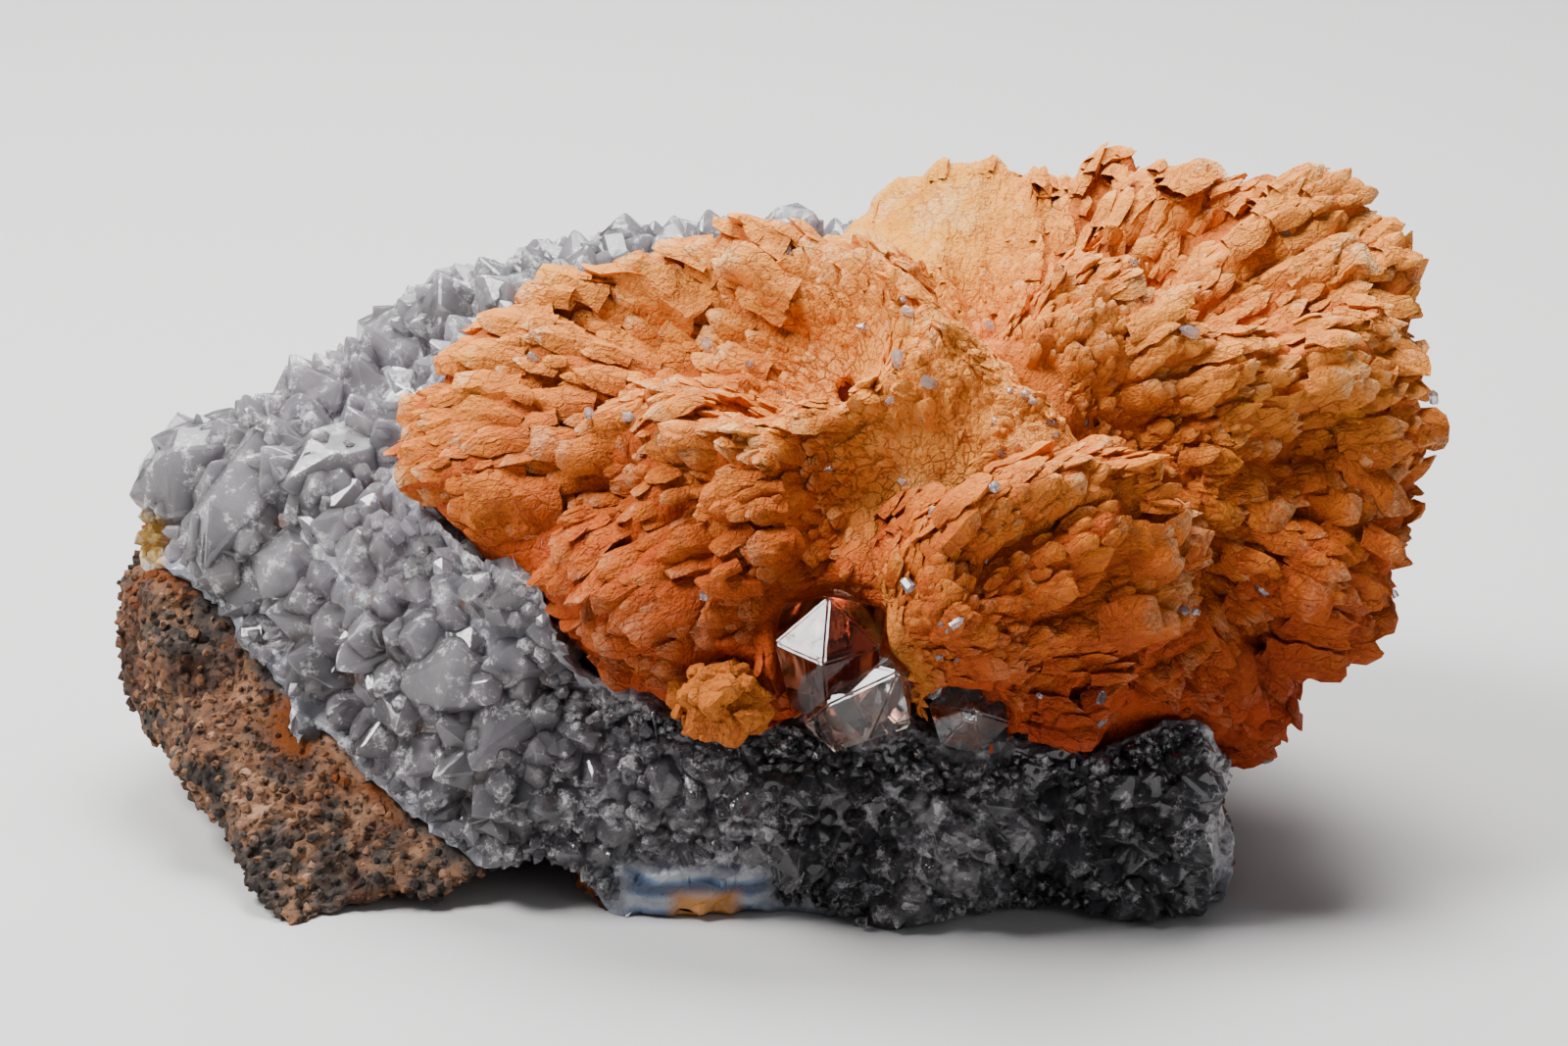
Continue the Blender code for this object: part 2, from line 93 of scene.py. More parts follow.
# Ranks of crystals: seed, size, spacing beside their width, tilt, how proud, least distance from the other pieces
CRYSTAL_RANKS = [(51, 1.0, 0.60, 0.13, 0.03, 0.7), (52, 0.62, 0.74, 0.20, -0.10, 0.4), (53, 0.34, 1.2, 0.35, -0.45, 0.2),
                 (54, 0.19, 1.1, 0.45, 0.05, 0.0)]
# Crystals that stand out: across, up, width, the way they point, turn about that, how proud
FIN = 2.2  # edges of the crust thinner than this are lowered
RIM_REACH = 3.5  # the smallest crystals line the edges of the crust this far
LARGE_CRYSTALS = [
    (-24.5, 20.5, 8.6, (0.10, -0.70, 0.65), 0.4, 0.7), (-38.5, 24.5, 6.8, (0.0, -0.75, 0.6), 0.8, 0.2),
    (-31.0, 27.0, 6.2, (-0.2, -0.75, 0.6), 1.3, 0.2),
]
# The small clear crystals on the ledge: across, up, width, the way they point, how proud
LEDGE_CRYSTALS = [
    (-2.8, 18.0, 2.8, (0.1, -0.9, 0.4), 1.0), (3.6, 17.0, 4.2, (-0.1, -0.95, 0.25), 1.6),
    (0.2, 20.2, 2.7, (-0.25, -0.7, 0.75), 1.2), (-0.6, 18.6, 2.3, (0.3, -0.9, 0.4), 1.2),
    (1.6, 18.8, 2.4, (0.1, -0.8, 0.5), 1.0), (18.1, 16.0, 4.6, (0.1, -0.95, 0.35), 1.2),
    (11.0, 15.5, 2.6, (-0.2, -0.9, 0.3), 0.8),
]
ROCK_GRAIN = 0.85  # width of the chips on the rock
PYRAMID_SLOPE = math.radians(51.8)  # between a quartz pyramid face and the plane across its axis




def arrays_of(mesh):
    """Vertices and triangles of a mesh."""
    mesh.calc_loop_triangles()
    points = np.zeros(len(mesh.vertices) * 3, np.float32)
    mesh.vertices.foreach_get("co", points)
    triangles = np.zeros(len(mesh.loop_triangles) * 3, np.int32)
    mesh.loop_triangles.foreach_get("vertices", triangles)
    return points.reshape(-1, 3).astype(float) / MM, triangles.reshape(-1, 3)


def object_from(name, points, faces, finish, smooth=False):
    mesh = bpy.data.meshes.new(name)
    points = np.array(points, float)
    points[:, 2] = np.maximum(points[:, 2], FLOOR_CLEARANCE)
    mesh.from_pydata((points * MM).tolist(), [], [tuple(face) for face in faces])
    mesh.update()
    mesh.materials.append(finish)
    if smooth:
        mesh.shade_smooth()
    obj = bpy.data.objects.new(name, mesh)
    bpy.context.scene.collection.objects.link(obj)
    return obj


def vectors(piece, name, values):
    held = piece.data.attributes.new(name, "FLOAT_VECTOR", "POINT")
    held.data.foreach_set("vector", np.asarray(values, np.float32).ravel())


def attribute(obj, name, values):
    made = obj.data.attributes.new(name, "FLOAT", "POINT")
    made.data.foreach_set("value", np.asarray(values, np.float32))


def remeshed(node, voxel, passes):
    """A node's solid with small even faces and its edges rounded off, as vertices and triangles."""
    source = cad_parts[node]
    probe = bpy.data.objects.new("probe", source.data.copy())
    bpy.context.scene.collection.objects.link(probe)
    even = probe.modifiers.new("even", "REMESH")
    even.mode = "VOXEL"
    even.voxel_size = voxel * MM
    soft = probe.modifiers.new("soft", "SMOOTH")
    soft.factor = 0.5
    soft.iterations = passes
    shown = probe.evaluated_get(bpy.context.evaluated_depsgraph_get())
    points, triangles = arrays_of(shown.to_mesh())
    mesh = probe.data
    bpy.data.objects.remove(probe)
    bpy.data.meshes.remove(mesh)
    return points, triangles


def normals_of(points, triangles):
    corners = points[triangles]
    across = np.cross(corners[:, 1] - corners[:, 0], corners[:, 2] - corners[:, 0])
    normals = np.zeros_like(points)
    for k in range(3):
        np.add.at(normals, triangles[:, k], across)
    return normals / np.maximum(np.linalg.norm(normals, axis=1, keepdims=True), 1e-9)


def unit(rows):
    return rows / np.maximum(np.linalg.norm(rows, axis=1, keepdims=True), 1e-9)


def noise_at(points, size, seed=0.0, octaves=3):
    """Fractal noise, about -1 to 1, with lumps of the given size."""
    shift = Vector((seed * 17.3, seed * 5.1, seed * 9.7))
    return np.array([noise.fractal(Vector(p) / size + shift, 0.9, 2.1, octaves) for p in points])


def distance_to(points, nodes):
    """How far each point is from the nearest of the named solids."""
    nearest = np.full(len(points), 1e9)
    for node in nodes:
        corners, triangles = arrays_of(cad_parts[node].data)
        tree = BVHTree.FromPolygons(corners.tolist(), triangles.tolist())
        for i, p in enumerate(points):
            found = tree.find_nearest(p, nearest[i])
            if found[3] is not None:
                nearest[i] = min(nearest[i], found[3])
    return nearest




def exposed(places, facing, nodes, reach):
    """Whether each place is free of the named solids, straight out to the given distance."""
    free = np.ones(len(places), bool)
    for node in nodes:
        corners, triangles = arrays_of(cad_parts[node].data)
        tree = BVHTree.FromPolygons(corners.tolist(), triangles.tolist())
        for i in np.flatnonzero(free):
            free[i] = tree.ray_cast(Vector(places[i] + facing[i] * 0.05), Vector(facing[i]), reach)[0] is None
    return free


def spread(points, triangles, spacing, seed, keep=None, growth=None, stretch=1.0):
    """Sites on a surface that stand about spacing(place) apart, stretch times that along growth(place),
    with the normals there."""
    rng = np.random.default_rng(seed)
    normals = normals_of(points, triangles)
    corners = points[triangles]
    middle = corners.mean(axis=1)
    area = np.linalg.norm(np.cross(corners[:, 1] - corners[:, 0], corners[:, 2] - corners[:, 0]), axis=1) / 2
    weight = area / spacing(middle) ** 2
    if keep is not None:
        weight = weight * keep(middle, normals[triangles].mean(axis=1))
    count = int(weight.sum() * 5 / stretch)
    chosen = rng.choice(len(triangles), count, p=weight / weight.sum())
    a, b = rng.random(count), rng.random(count)
    flip = a + b > 1
    a[flip], b[flip] = 1 - a[flip], 1 - b[flip]
    share = np.stack([1 - a - b, a, b], axis=1)[:, :, None]
    places = (corners[chosen] * share).sum(axis=1)
    facing = unit((normals[triangles][chosen] * share).sum(axis=1))
    least = spacing(places)
    ahead = growth(places) if growth is not None else np.zeros_like(places)
    saved = 1 - 1 / stretch**2
    tree = KDTree(count)
    for i, p in enumerate(places):
        tree.insert(p, i)
    tree.balance()
    free = np.ones(count, bool)
    taken = []
    for i in range(count):
        if free[i]:
            taken.append(i)
            near = np.array([j for _, j, _ in tree.find_range(places[i], least[i] * stretch)])
            apart = places[near] - places[i]
            along = apart @ ahead[i]
            free[near[(apart**2).sum(axis=1) - saved * along**2 < least[i] ** 2]] = False
    return places[taken], facing[taken]


def planted(template, feet, sides, fronts, axes, scales):
    """Copies of a template at each foot. Its X, Y and Z lie along sides, fronts and axes, times scales."""
    shape, faces = template
    shape = np.asarray(shape, float)
    basis = np.stack([sides, fronts, axes], axis=1)
    spots = feet[:, None, :] + np.einsum("tk,nk,nkd->ntd", shape, scales, basis)
    step = np.arange(len(feet)) * len(shape)
    copied = [tuple(int(v) + s for v in face) for s in step.tolist() for face in faces]
    return spots.reshape(-1, 3), copied




def blade_template(outline, around, rings):
    """One blade along Z, 1 long, 1 wide along X and 1 thick along Y, with sharp sides."""
    known, halves, thicks = zip(*outline)
    shape = []
    for along in np.linspace(0, 1, rings):
        half, thick = np.interp(along, known, halves), np.interp(along, known, thicks)
        for k in range(around):
            angle = 2 * math.pi * k / around
            x = math.cos(angle)
            shape.append((x * half, math.copysign(1 - abs(x) ** 1.8, math.sin(angle)) * thick, along * 0.97))
    shape.append((0.0, 0.0, 1.0))
    faces = []
    for ring in range(rings - 1):
        for k in range(around):
            a, b = ring * around + k, ring * around + (k + 1) % around
            faces.append((a, b, b + around, a + around))
    last = (rings - 1) * around
    faces += [(last + k, last + (k + 1) % around, len(shape) - 1) for k in range(around)]
    return np.array(shape), faces


def swirl(points, size):
    """A direction of smooth noise for each point, the same each run, which noise_vector's isn't."""
    return np.array([[noise.noise(Vector(p) / size + shift) for shift in SWIRL_SHIFTS] for p in points])


def roughened(points, size, amount):
    """Points moved by smooth noise with lumps of the given size; amount may differ from point to point."""
    return points + swirl(points, size) * np.reshape(amount, (-1, 1))


def bundle_seeds(angle, seed):
    """Directions of the bundles that the blades stand in, about angle apart, and how high each bundle stands."""
    count = round(4 * math.pi / angle**2)
    rng = np.random.default_rng(seed)
    return unit(rng.normal(size=(count, 3))), rng.uniform(-1, 1, count)


def relief(points, origin, bundles):
    """For each point: the direction of its bundle, how near it is to a joint, 0 to 1, and its height."""
    seeds, heights = bundles
    arms = points - origin
    lengths = np.linalg.norm(arms, axis=1)
    close = unit(arms) @ seeds.T
    order = np.argsort(-close, axis=1)[:, :2]
    angles = np.arccos(np.clip(np.take_along_axis(close, order, axis=1), -1, 1))
    gap = (angles[:, 1] - angles[:, 0]) / 2 * lengths
    joint = np.exp(-((gap / 0.75) ** 2))
    height = BUNDLE_STEP * heights[order[:, 0]] * (1 - joint) - CREVICE * joint
    return seeds[order[:, 0]], joint, height * np.clip(lengths / 18, 0.25, 1)


def smoothness(away, node):
    """1 near the place where a sheaf grows from, 0 where its blades stand free."""
    reach = SMOOTH_REACH[node]
    return np.clip(2.3 - away / reach, 0, 1) if reach else np.zeros(len(away))


def bricks_of(points, origin):
    """A place in a pattern of cells that stretch away from the origin and widen with the distance."""
    arms = points - origin
    away = np.maximum(np.linalg.norm(arms, axis=1), 1.0)
    return unit(arms) * (BRICKS + BRICK_STEP * np.log(away / 10))[:, None]


def paleness(points, node):
    """1 on the smooth lobe at the back of the right sheaf, 0 away from it."""
    if node != "stilbite_right_sheaf":
        return np.full(len(points), 0.45 if node == "stilbite_bud" else 0.0)
    return np.clip(1.5 - np.linalg.norm(points - np.array(LOBE), axis=1) / LOBE_RADIUS, 0, 1)


def lay_blades(places, facing, growth, wide, lift, far, plump, rng):
    """Feet, sides, fronts, axes and scales of blades that grow along the surface where they can."""
    count = len(places)
    rise = np.clip((growth * facing).sum(axis=1), -1, 1)
    along = unit(growth - facing * rise[:, None])
    stand = BLADE_STAND[0] * np.maximum(rise, 0) ** BLADE_STAND[1] * far
    lean = np.clip(BLADE_LEAN * (0.4 + 0.6 * far) + stand + rng.uniform(-0.07, 0.12, count), 0, 0.98 / plump**2)
    axes = unit(along * np.sqrt(1 - lean**2)[:, None] + facing * lean[:, None])
    steady = unit(swirl(places, 9.0) + np.array((0.2, -0.3, 0.9)))
    flat = np.clip(1.3 - 1.3 * lean, 0.05, 1)[:, None]
    fronts = facing * flat + steady * (1 - flat) + rng.normal(scale=0.14, size=(count, 3))
    fronts = unit(fronts - axes * (fronts * axes).sum(axis=1)[:, None])
    long = wide * rng.uniform(*BLADE_LENGTH, count) / plump
    thick = wide * rng.uniform(0.34, 0.56, count) * plump
    feet = places + facing * lift[:, None] - axes * (long * (0.58 + 0.26 * lean))[:, None]
    return feet, np.cross(fronts, axes), fronts, axes, np.stack([wide, thick, long], axis=1)


def build_sheaf(node, seed, body_finish, blade_finish, clear):
    origin = np.array(GROWTH_ORIGINS[node])
    others = [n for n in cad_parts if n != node]
    bundles = bundle_seeds(BUNDLE_ANGLE[node], seed)
    small = node == "stilbite_bud"
    shrink = 0.4 if small else 1.0

    points, triangles = remeshed(node, 0.4 if small else 0.7, 3 if small else 10)
    contact = np.clip(distance_to(points, others) / 1.5, 0, 1)
    _, joint, height = relief(points, origin, bundles)
    pale = paleness(points, node)
    away = np.linalg.norm(points - origin, axis=1)
    bare = np.maximum(pale, smoothness(away, node))
    shift = (height * (1 - 0.8 * bare) - 0.15 + 0.25 * bare) * shrink * contact
    lumps = (2.6, 0.7) if small else (1.6, 0.22)
    body = roughened(points + normals_of(points, triangles) * shift[:, None], lumps[0], lumps[1] * contact)
    body = object_from(node + "_body", body, triangles, body_finish, smooth=True)
    vectors(body, "brick", bricks_of(points, origin))
    # The body's low along value gives it the painted shade of the blade roots in the gaps between blades, less on the
    # smooth parts.
    for name, values in (("along", 0.35 + 0.5 * bare), ("tint", np.full(len(points), 0.4)), ("out", np.clip(away / 34, 0, 1)),
                         ("pale", pale), ("bare", bare), ("across", points[:, 0]), ("length", away)):
        attribute(body, name, values)

    def width(spots):
        away = np.linalg.norm(spots - origin, axis=1)
        share = np.clip((away - BLADE_REACH[0]) / (BLADE_REACH[1] - BLADE_REACH[0]), 0, 1)
        wide = BLADE_WIDTH[0] + (BLADE_WIDTH[1] - BLADE_WIDTH[0]) * share
        return BUD_BLADE + 0 * wide if small else wide * (1 - 0.4 * paleness(spots, node))

    rng = np.random.default_rng(seed + 1)
    spots, faces, values, tips, start = [], [], [], [], 0
    for rank, (size, gap, lift, share, around, rings) in enumerate(RANKS[:2] if small else RANKS):
        places, facing = spread(points, triangles, lambda p: width(p) * size * gap, seed * 10 + rank,
                                growth=lambda p: unit(p - origin), stretch=BLADE_STRETCH)
        share = share * (1 - 0.3 * smoothness(np.linalg.norm(places - origin, axis=1), node) * (size > 0.6))
        kept = exposed(places, facing, others, 1.5) & (rng.random(len(places)) < share)
        if rank == 2:
            kept &= paleness(places, node) < 0.3
        places, facing = places[kept], facing[kept]
        axis, joint, height = relief(places, origin, bundles)
        height = height * (0.2 + 0.8 * (1 - smoothness(np.linalg.norm(places - origin, axis=1), node)))
        outward = unit(places - origin)
        growth = unit(outward + 0.5 * (outward - axis) + rng.normal(scale=0.09, size=places.shape))
        wide = width(places) * size * rng.uniform(0.75, 1.3, len(places))
        pale = paleness(places, node)
        far = 1 - smoothness(np.linalg.norm(places - origin, axis=1), node)
        low = np.maximum(0.35 * pale, (0.16 * wide + 0.05) * (1 - far))
        up = (height * (1 - 0.8 * pale) + lift * wide - low) * shrink + rng.uniform(-0.15, 0.15, len(places)) * (3 if small else far)
        frames = lay_blades(places, facing, growth, wide, up, far, BUD_PLUMP if small else 1.0, rng)
        which = rng.choice(len(OUTLINES), len(places), p=OUTLINE_SHARES[node])
        if rank == 2:
            which[:] = OUTLINES.index(CHISEL)
        for kind, outline in enumerate(OUTLINES):
            mine = which == kind
            if not mine.any():
                continue
            template = blade_template(outline, around, rings)
            made, joined = planted(template, *(part[mine] for part in frames))
            per = len(template[0])
            reach = np.repeat(wide[mine], per)
            made = roughened(roughened(made, 1.5, 0.16 * reach), 0.6, np.minimum(0.07 * reach, 0.2))
            spots.append(made)
            faces += [tuple(v + start for v in face) for face in joined]
            start += len(made)
            count = mine.sum()
            along = np.tile(template[0][:, 2], count)
            across = np.tile(template[0][:, 0], count) * reach + np.repeat(rng.uniform(0, 50, count), per)
            out = np.repeat(np.clip(np.linalg.norm(places[mine] - origin, axis=1) / 34, 0, 1), per)
            near = smoothness(np.linalg.norm(places[mine] - origin, axis=1), node)
            values.append((along, np.repeat(rng.random(count), per), out, np.repeat(pale[mine], per), across,
                           along * np.repeat(frames[4][mine][:, 2], per), np.repeat(np.maximum(near, pale[mine]), per)))
        tips.append(frames[0] + frames[3] * frames[4][:, 2:])
    blades = object_from(node, np.concatenate(spots), faces, blade_finish, smooth=True)
    blades.data.set_sharp_from_angle(angle=math.radians(42))
    held = {name: np.concatenate(parts) for name, parts in
            zip(("along", "tint", "out", "pale", "across", "length", "bare"), zip(*values))}
    for name, parts in held.items():
        attribute(blades, name, parts)
    vectors(blades, "brick", np.stack([held["across"] * 1.1, held["length"] * 0.62, held["tint"] * 40], axis=1))
    if small:
        return [body, blades]
    return [body, blades, build_sparkles(node, np.concatenate(tips), rng, clear)]


def build_sparkles(node, tips, rng, clear):
    """Tiny clear quartz crystals that sit on the outer blades."""
    crest = tips[:, 2] > SPARKLE_CREST
    chance = np.where(crest, 1.0, 0.25) if node == "stilbite_left_sheaf" else np.full(len(tips), 0.3)
    chosen = rng.choice(len(tips), SPARKLES[node], replace=False, p=chance / chance.sum())
    places = tips[chosen] + rng.normal(scale=0.3, size=(len(chosen), 3))
    places = places[distance_to(places, [node]) < 0.7]
    wide = rng.uniform(0.35, 0.9, len(places))
    shapes = [crystal_template(random.Random(90 + k), bevel=0.0) for k in range(4)]
    axes = unit(rng.normal(size=places.shape) + (0, -0.4, 0.8))
    spots, faces = crystals_at(places, axes, axes, wide, rng, 0.0, shapes)
    return object_from(node + "_sparkles", spots, faces, clear)


def crystal_template(rng, width=1.0, height=1.6, bevel=0.03):
    """A six-sided crystal with an uneven pyramid, its tip at the origin and its axis along Z."""
    shape = bmesh.new()
    bmesh.ops.create_cube(shape, size=4.0)
    bmesh.ops.translate(shape, verts=shape.verts, vec=(0, 0, -2.0 + 0.3))
    planes = [((0, 0, -height), (0, 0, -1))]
    for k in range(6):
        angle = math.radians(60 * k)
        flat = Vector((math.cos(angle), math.sin(angle), 0))
        planes.append((flat * width / 2 * rng.uniform(0.82, 1.1), flat))
        steep = math.sin(PYRAMID_SLOPE)
        slant = Vector((flat.x * steep, flat.y * steep, math.cos(PYRAMID_SLOPE)))
        planes.append((slant * width * (rng.uniform(0.0, 0.04) if k % 2 else rng.uniform(0.01, 0.08)), slant))
    for place, normal in planes:
        everything = [*shape.verts, *shape.edges, *shape.faces]
        cut = bmesh.ops.bisect_plane(shape, geom=everything, plane_co=place, plane_no=normal, clear_outer=True)
        edges = [item for item in cut["geom_cut"] if isinstance(item, bmesh.types.BMEdge)]
        if edges:
            bmesh.ops.contextual_create(shape, geom=edges)
    bmesh.ops.remove_doubles(shape, verts=shape.verts, dist=0.01)
    if bevel:
        bmesh.ops.bevel(shape, geom=list(shape.edges), offset=bevel, segments=1, affect="EDGES", clamp_overlap=True)
    bmesh.ops.recalc_face_normals(shape, faces=shape.faces)
    shape.verts.index_update()
    top = max(v.co.z for v in shape.verts)
    verts = [(v.co.x, v.co.y, v.co.z - top) for v in shape.verts]
    faces = [tuple(v.index for v in face.verts) for face in shape.faces]
    shape.free()
    return np.array(verts), faces


def crystals_at(places, facing, axes, wide, rng, proud, templates):
    """Vertices and faces of crystals whose tips stand proud of the given places."""
    count = len(places)
    turn = unit(rng.normal(size=(count, 3)))
    sides = unit(np.cross(turn, axes))
    fronts = np.cross(axes, sides)
    feet = places + facing * (proud * wide)[:, None]
    scales = np.stack([wide, wide, wide * rng.uniform(0.85, 1.25, count)], axis=1)
    which = rng.integers(0, len(templates), count)
    spots, faces, base = [], [], 0
    for k, template in enumerate(templates):
        mine = which == k
        if mine.any():
            more, made = planted(template, feet[mine], sides[mine], fronts[mine], axes[mine], scales[mine])
            faces += [tuple(v + base for v in face) for face in made]
            spots.append(more)
            base += len(more)
    return np.concatenate(spots), faces


def on_band(places):
    """1 on the smooth agate band at the foot of the wall."""
    return np.clip((7 - np.abs(places[:, 0] + 7)) / 2, 0, 1) * np.clip((5.0 - places[:, 2]) / 1.5, 0, 1)


def on_wall(places):
    """1 on the dark front wall, 0 on the bulge and the skyline."""
    across = np.clip((places[:, 0] - WALL_LEFT + 8) / 10, 0, 1)
    return across * np.clip((WALL_TOP + 6 - places[:, 2]) / 6, 0, 1)


def front_at(x, z, node):
    """Where a line along Y meets the front of a solid, and the normal there."""
    corners, triangles = arrays_of(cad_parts[node].data)
    tree = BVHTree.FromPolygons(corners.tolist(), triangles.tolist())
    place, normal, _, _ = tree.ray_cast(Vector((x, -90, z)), Vector((0, 1, 0)))
    return np.array(place), np.array(normal)


def thickness(points, normals, triangles):
    """How far each point of a closed surface is from its other side, straight inwards."""
    tree = BVHTree.FromPolygons(points.tolist(), triangles.tolist())
    hits = (tree.ray_cast(Vector(p - n * 0.05), Vector(-n))[3] for p, n in zip(points, normals))
    return np.array([FIN if hit is None else hit for hit in hits])


def rooted(surface, places, axes, wide):
    """Whether the sides of a crystal, where its point ends, lie inside the surface it grows on."""
    held = np.ones(len(places), bool)
    for i, (place, axis, size) in enumerate(zip(places, axes, wide)):
        side = unit(np.cross(axis[None], np.array([[0.2, 0.3, 0.9]])))[0]
        middle = place - axis * size * 0.6
        for away in (side, -side, np.cross(axis, side), -np.cross(axis, side)):
            foot = middle + away * size * 0.25
            near, outward, _, _ = surface.find_nearest(Vector(foot))
            held[i] &= (near - Vector(foot)).dot(outward) > 0
    return held


def build_druse(milky, glassy):
    node = "quartz_druse"
    others = [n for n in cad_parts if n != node]
    points, triangles = remeshed(node, 0.7, 8)
    normals = normals_of(points, triangles)
    rock = distance_to(points, ["basalt_matrix"])
    socket = distance_to(points, [n for n in others if n != "basalt_matrix"])
    contact = np.clip((socket - 0.6) / 1.0, 0, 1)
    wall = on_wall(points)
    deep = np.minimum(2.5 - 1.1 * wall, 0.7 * rock) * (1 - on_band(points))
    shift = -deep * contact + 0.1 * np.exp(-((rock / 1.0) ** 2))
    thin = np.clip(FIN - thickness(points, normals, triangles), 0, 1)
    sunk = points + normals * shift[:, None] - np.outer(thin * (socket < 4), (0, 0, 2.5))
    base = roughened(roughened(sunk, 2.6, 0.5), 0.9, 0.22)

    def width(places):
        return BULGE_CRYSTAL + (WALL_CRYSTAL - BULGE_CRYSTAL) * on_wall(places)

    def keep(middle, normal):
        broken = (normal[:, 1] > 0.25) & (middle[:, 1] > 19) | (normal[:, 0] > 0.6) & (middle[:, 0] > 31)
        return ~(broken | (middle[:, 2] < 0.6) | (on_band(middle) > 0.4))

    surface = BVHTree.FromPolygons(points.tolist(), triangles.tolist())
    rng = np.random.default_rng(5)
    eased = [crystal_template(random.Random(k)) for k in range(14)]
    sharp = [crystal_template(random.Random(k), bevel=0.0) for k in range(14)]
    groups = []
    taken = np.array([front_at(x, z, node)[0] for x, z, *_ in LARGE_CRYSTALS])
    for seed, size, gap, tilt, proud, least in CRYSTAL_RANKS:
        places, facing = spread(points, triangles, lambda p: width(p) * gap * size, seed, keep)
        clear = exposed(places, facing, others, 1.2 * size * BULGE_CRYSTAL) & (distance_to(places, others) > least)
        if size == 1.0:
            clear &= np.linalg.norm(places[:, None] - taken[None], axis=2).min(axis=1) > BULGE_CRYSTAL * 0.7
        if size < 0.2:
            clear &= distance_to(places, others) < RIM_REACH
        places, facing = places[clear], facing[clear]
        wide = width(places) * size * rng.uniform(0.75, 1.35, len(places)) * np.where(places[:, 1] > 16, 0.7, 1.0)
        axes = unit(facing + rng.normal(scale=tilt, size=facing.shape))
        held = rooted(surface, places, axes, wide)
        places, facing, axes, wide = places[held], facing[held], axes[held], wide[held]
        groups.append(crystals_at(places, facing, axes, wide, rng, proud, eased if size > 0.5 else sharp))
    for k, (x, z, wide, lean, turn, proud) in enumerate(LARGE_CRYSTALS):
        place, _ = front_at(x, z, node)
        axis = unit(np.array([lean]))
        side = unit(np.cross(np.array([[math.sin(turn), 0.2, math.cos(turn)]]), axis))
        scales = np.array([[wide, wide * 0.85, wide]])
        foot = place[None] + axis * proud
        groups.append(planted(crystal_template(random.Random(40 + k), bevel=0.02), foot, side, np.cross(axis, side), axis, scales))
    pieces = [object_from("quartz_crust", base, triangles, milky)]
    attribute(pieces[0], "edge", 0.6 * np.exp(-((rock / 1.2) ** 2)))
    attribute(pieces[0], "depth", deep * contact)
    spots, faces, depths, start = [], [], [], 0
    for more, made in groups:
        faces += [tuple(v + start for v in face) for face in made]
        spots.append(more)
        start += len(more)
    spots = np.concatenate(spots)
    spots[:, 1] = np.minimum(spots[:, 1], points[:, 1].max() + 0.3)
    for p in spots:
        near, normal, _, _ = surface.find_nearest(p)
        depths.append((near - Vector(p)).dot(normal))
    pieces.append(object_from("quartz_druse", spots, faces, glassy))
    attribute(pieces[1], "edge", np.zeros(len(spots)))
    attribute(pieces[1], "depth", depths)
    return pieces


def build_ledge_crystals(finish):
    """The small clear crystals beside the free points on the ledge."""
    rng = random.Random(3)
    groups, start, spots, faces = [], 0, [], []
    for x, z, wide, lean, proud in LEDGE_CRYSTALS:
        place, _ = front_at(x, z, "quartz_druse")
        axis = unit(np.array([lean]))
        side = unit(np.cross(np.array([[0.3, 0.4, 0.9]]), axis))
        template = crystal_template(rng, bevel=0.10)
        more, made = planted(template, place[None] + axis * proud, side, np.cross(axis, side), axis, np.full((1, 3), wide))
        faces += [tuple(v + start for v in face) for face in made]
        spots.append(more)
        start += len(more)
    return object_from("ledge_crystals", np.concatenate(spots), faces, finish)


def build_point(node, finish):
    """A free crystal: the solid's own outline with its edges eased."""
    shape = bmesh.new()
    shape.from_mesh(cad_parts[node].data)
    bmesh.ops.remove_doubles(shape, verts=shape.verts, dist=0.01 * MM)
    result = bmesh.ops.convex_hull(shape, input=shape.verts)
    loose = [item for item in result["geom_interior"] + result["geom_unused"] if isinstance(item, bmesh.types.BMVert)]
    bmesh.ops.delete(shape, geom=loose, context="VERTS")
    bmesh.ops.dissolve_limit(shape, angle_limit=math.radians(4), verts=shape.verts, edges=shape.edges)
    bmesh.ops.bevel(shape, geom=list(shape.edges), offset=0.16 * MM, segments=2, affect="EDGES", clamp_overlap=True)
    bmesh.ops.recalc_face_normals(shape, faces=shape.faces)
    shape.verts.index_update()
    points = np.array([v.co for v in shape.verts]) / MM
    faces = [tuple(v.index for v in face.verts) for face in shape.faces]
    shape.free()
    return object_from(node, points, faces, finish)




def grain_template(seed):
    """A chip of rock about 1 across."""
    rng = np.random.default_rng(seed)
    shape = bmesh.new()
    bmesh.ops.create_icosphere(shape, subdivisions=1, radius=0.5)
    verts = np.array([v.co for v in shape.verts]) * rng.uniform(0.65, 1.15, (len(shape.verts), 1)) * (1.0, 0.85, 0.7)
    shape.verts.index_update()
    faces = [tuple(v.index for v in face.verts) for face in shape.faces]
    shape.free()
    return verts, faces


